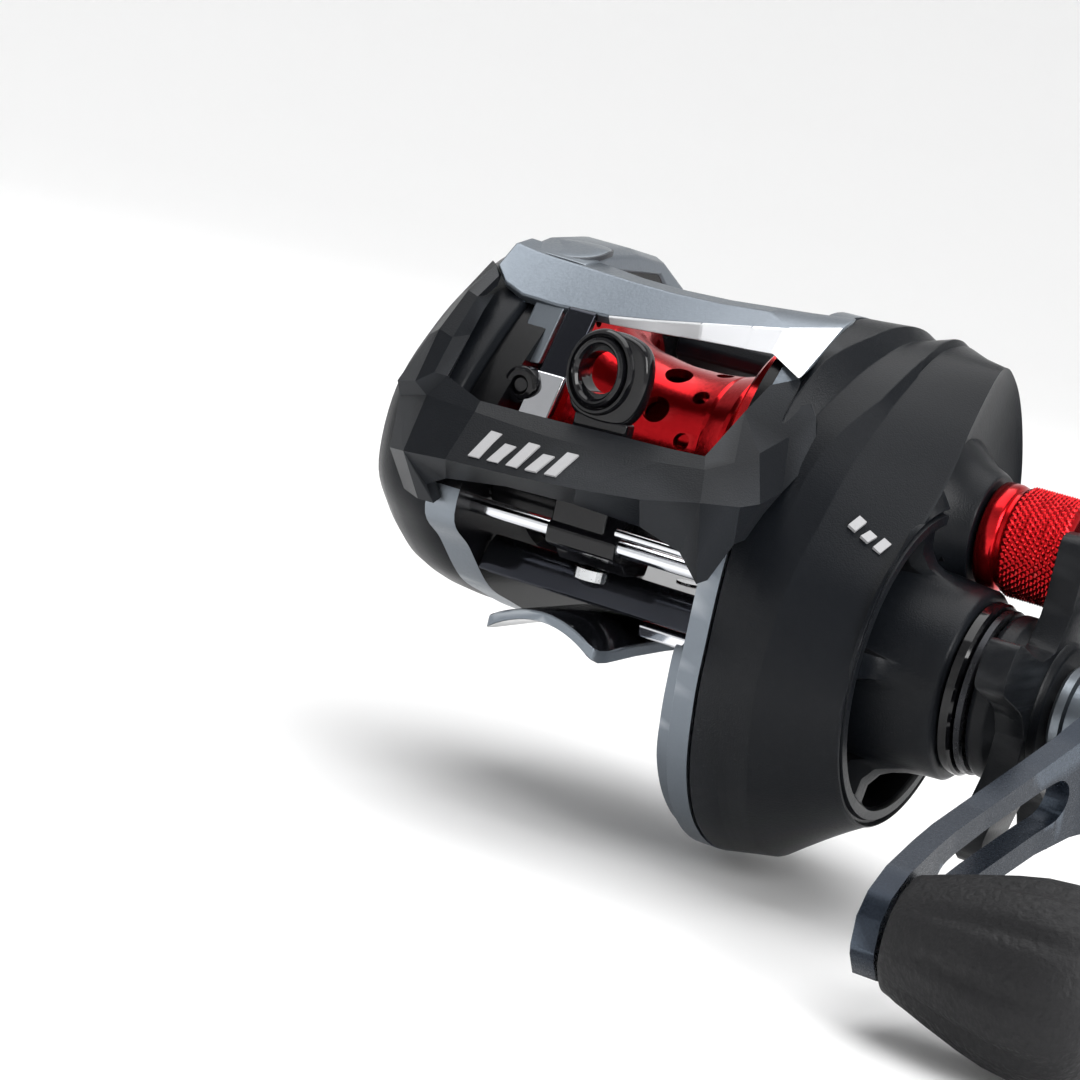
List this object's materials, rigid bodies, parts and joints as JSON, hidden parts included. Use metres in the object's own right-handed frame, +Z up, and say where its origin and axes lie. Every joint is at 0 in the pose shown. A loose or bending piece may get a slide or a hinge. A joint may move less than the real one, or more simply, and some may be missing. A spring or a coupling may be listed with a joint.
{
  "type": "baitcasting reel",
  "caption": "Low-profile baitcasting fishing reel with level-wind, ported spool, star drag and crank handle.",
  "frame": {"origin": "centre of the reel foot's flat underside", "axes": "+X towards the handle side, -Y towards the front where the line leaves, +Z up; X = 0 is the middle of the spool"},
  "size_m": [0.1184, 0.109, 0.0687],
  "materials": {
    "gunmetal_casting": "satin grey die-casting",
    "polished_metal": "polished",
    "black_shell": "fine satin graphite-filled nylon",
    "black_gloss": "glossy black",
    "red_anodised": "bright red anodised",
    "turned_steel": "turned",
    "gear_brass": "machined",
    "drag_carbon": "woven carbon",
    "white_nylon": "moulded",
    "handle_blue_grey": "satin dark blue-grey anodised",
    "knob_rubber": "fine pebbled grip"
  },
  "bodies": {
    "frame": {"frame_gear_ring": "gunmetal_casting", "frame_palm_ring": "gunmetal_casting", "frame_top_bar": "gunmetal_casting", "frame_bottom_bridge": "gunmetal_casting", "reel_foot": "polished_metal", "foot_rivet_front": "turned_steel", "foot_rivet_rear": "turned_steel", "front_hood": "black_shell", "gear_side_cover": "black_shell", "cover_screw_front": "turned_steel", "cover_screw_rear": "turned_steel", "spool_bearing_gear_side": "turned_steel", "drive_shaft_bearing": "turned_steel", "one_way_bearing": "turned_steel", "stabiliser_rod": "polished_metal", "worm_shield": "black_gloss", "idler_post": "turned_steel", "yoke_post_rear": "turned_steel", "yoke_post_front": "turned_steel"},
    "crank": {"drive_shaft": "turned_steel", "drive_cog": "white_nylon", "main_gear": "gear_brass", "drag_washer_carbon": "drag_carbon", "drag_washer_steel": "turned_steel", "clutch_sleeve": "turned_steel", "spacer_ring_inner": "gunmetal_casting", "handle_collar": "gunmetal_casting", "handle_arm": "handle_blue_grey", "handle_nut": "polished_metal", "nut_retainer": "black_gloss", "knob_post_front": "turned_steel", "knob_post_rear": "turned_steel"},
    "star": {"star_drag": "black_shell", "drag_spring_washer": "turned_steel"},
    "front_knob": {"knob_front": "knob_rubber", "knob_cap_front": "black_gloss"},
    "rear_knob": {"knob_rear": "knob_rubber", "knob_cap_rear": "black_gloss"},
    "spool_group": {"spool": "red_anodised", "spool_shaft": "turned_steel", "brake_rotor": "turned_steel"},
    "yoke": {"clutch_yoke": "white_nylon", "yoke_spring_rear": "turned_steel", "yoke_spring_front": "turned_steel"},
    "pinion_group": {"pinion": "gear_brass"},
    "cam": {"clutch_cam": "white_nylon"},
    "thumb": {"thumb_bar": "black_shell"},
    "worm": {"worm_shaft": "turned_steel", "worm_cog": "white_nylon"},
    "idler": {"idler_cog": "white_nylon"},
    "guide": {"line_guide": "black_gloss", "guide_ring": "black_gloss", "pawl_cap": "turned_steel"},
    "pawl_body": {"pawl": "gear_brass"},
    "cast_cap": {"cast_control_cap": "red_anodised", "cast_control_shim": "gear_brass"},
    "palm": {"palm_side_cover": "black_shell", "spool_bearing_palm_side": "turned_steel", "brake_magnet_ring": "drag_carbon"},
    "dial": {"brake_dial": "black_gloss"}
  },
  "joints": [
    {"name": "handle_crank", "type": "hinge", "parent": "frame", "child": "crank", "pos_m": [0, -0.0056, 0.00503], "axis": [1, 0, 0], "continuous": true},
    {"name": "star_drag_turn", "type": "hinge", "parent": "crank", "child": "star", "pos_m": [0, -0.0056, 0.00503], "axis": [1, 0, 0], "range_deg": [-180, 180]},
    {"name": "front_knob_spin", "type": "hinge", "parent": "crank", "child": "front_knob", "pos_m": [0, -0.04945, -0.01449], "axis": [1, 0, 0], "continuous": true},
    {"name": "rear_knob_spin", "type": "hinge", "parent": "crank", "child": "rear_knob", "pos_m": [0, 0.03825, 0.02455], "axis": [1, 0, 0], "continuous": true},
    {"name": "spool_spin", "type": "hinge", "parent": "frame", "child": "spool_group", "pos_m": [0, 0.0014, 0.0221], "axis": [1, 0, 0], "continuous": true},
    {"name": "thumb_bar_press", "type": "slide", "parent": "frame", "child": "thumb", "axis": [0, 0, -1], "range_m": [0, 0.0042]},
    {"name": "yoke_slide", "type": "slide", "parent": "frame", "child": "yoke", "axis": [1, 0, 0], "range_m": [0, 0.002]},
    {"name": "pinion_spin", "type": "hinge", "parent": "yoke", "child": "pinion_group", "pos_m": [0, 0.0014, 0.0221], "axis": [1, 0, 0], "continuous": true},
    {"name": "clutch_cam_turn", "type": "hinge", "parent": "frame", "child": "cam", "pos_m": [0, 0.0014, 0.0221], "axis": [1, 0, 0], "range_deg": [0, 25]},
    {"name": "worm_spin", "type": "hinge", "parent": "frame", "child": "worm", "pos_m": [0, -0.01742, 0.01343], "axis": [1, 0, 0], "continuous": true},
    {"name": "idler_spin", "type": "hinge", "parent": "frame", "child": "idler", "pos_m": [0, -0.01294, 0.01024], "axis": [1, 0, 0], "continuous": true},
    {"name": "line_guide_slide", "type": "slide", "parent": "frame", "child": "guide", "axis": [1, 0, 0], "range_m": [-0.008, 0.008]},
    {"name": "pawl_swivel", "type": "hinge", "parent": "guide", "child": "pawl_body", "pos_m": [-0.0004, -0.01742, 0.009], "axis": [0, 0, 1], "range_deg": [-25, 25]},
    {"name": "cast_control_turn", "type": "hinge", "parent": "frame", "child": "cast_cap", "pos_m": [0, 0.0014, 0.0221], "axis": [1, 0, 0], "range_deg": [-180, 180]},
    {"name": "palm_cover_pull", "type": "slide", "parent": "frame", "child": "palm", "axis": [-1, 0, 0], "range_m": [0, 0.02]},
    {"name": "brake_dial_turn", "type": "hinge", "parent": "palm", "child": "dial", "pos_m": [0, 0.0014, 0.0221], "axis": [1, 0, 0], "range_deg": [0, 250]}
  ],
  "couplings": [
    {"joint": "spool_spin", "follows": "handle_crank", "ratio": -7.2},
    {"joint": "pinion_spin", "follows": "handle_crank", "ratio": -7.2},
    {"joint": "worm_spin", "follows": "handle_crank", "ratio": 2.1667},
    {"joint": "idler_spin", "follows": "handle_crank", "ratio": -2.6},
    {"joint": "yoke_slide", "follows": "thumb_bar_press", "ratio": 0.47619},
    {"joint": "clutch_cam_turn", "follows": "thumb_bar_press", "rad_per_m": 103.88}
  ]
}
